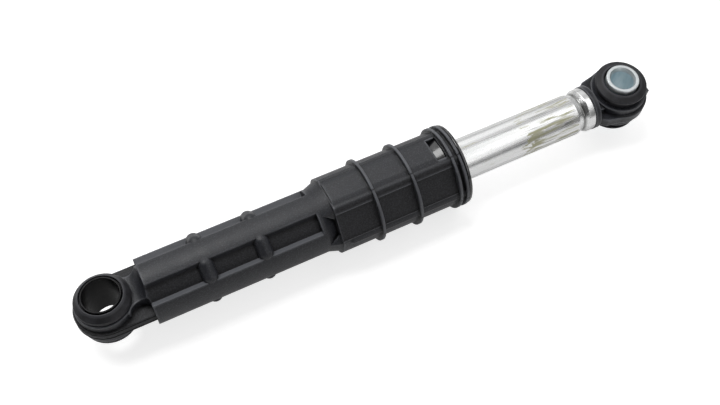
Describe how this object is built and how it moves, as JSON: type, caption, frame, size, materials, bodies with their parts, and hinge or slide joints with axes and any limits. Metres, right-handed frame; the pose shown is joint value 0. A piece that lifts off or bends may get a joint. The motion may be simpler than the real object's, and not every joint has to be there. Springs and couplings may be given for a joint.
{
  "type": "friction damper",
  "caption": "Telescopic friction damper: ribbed black barrel, bright steel rod tube, and a rubber-bushed eye at each end, as hung between a washing machine's tub and base.",
  "frame": {"origin": "centre of the lower eye's bore, in the middle plane of the housing", "axes": "+X along the damper from the lower eye to the rod's eye, +Z along the lower eye's bore"},
  "size_m": [0.2601, 0.0356, 0.0356],
  "materials": {
    "moulded_black": "glass-filled nylon with a fine moulded grain",
    "rubber_black": "matt moulded rubber",
    "sleeve_black": "satin",
    "lining_foam": "open foam soaked with grease",
    "cap_gloss": "smooth and glossy",
    "guide_plastic": "smooth natural acetal",
    "tube_steel": "drawn along its length, with grease smears",
    "sleeve_zinc": "bright zinc plate"
  },
  "bodies": {
    "housing": {"housing": "moulded_black", "lower_bush": "rubber_black", "lower_sleeve": "sleeve_black", "friction_lining": "lining_foam", "end_cap": "cap_gloss"},
    "guide": {"rod_guide": "guide_plastic"},
    "rod": {"rod_tube": "tube_steel", "rod_end": "moulded_black", "upper_bush": "rubber_black", "upper_sleeve": "sleeve_zinc"}
  },
  "joints": [
    {"name": "rod_slide", "type": "slide", "parent": "housing", "child": "guide", "axis": [1, 0, 0], "range_m": [-0.058, 0.0138]},
    {"name": "rod_turn", "type": "hinge", "parent": "guide", "child": "rod", "pos_m": [0.082, 0, 0], "axis": [1, 0, 0], "continuous": true}
  ]
}
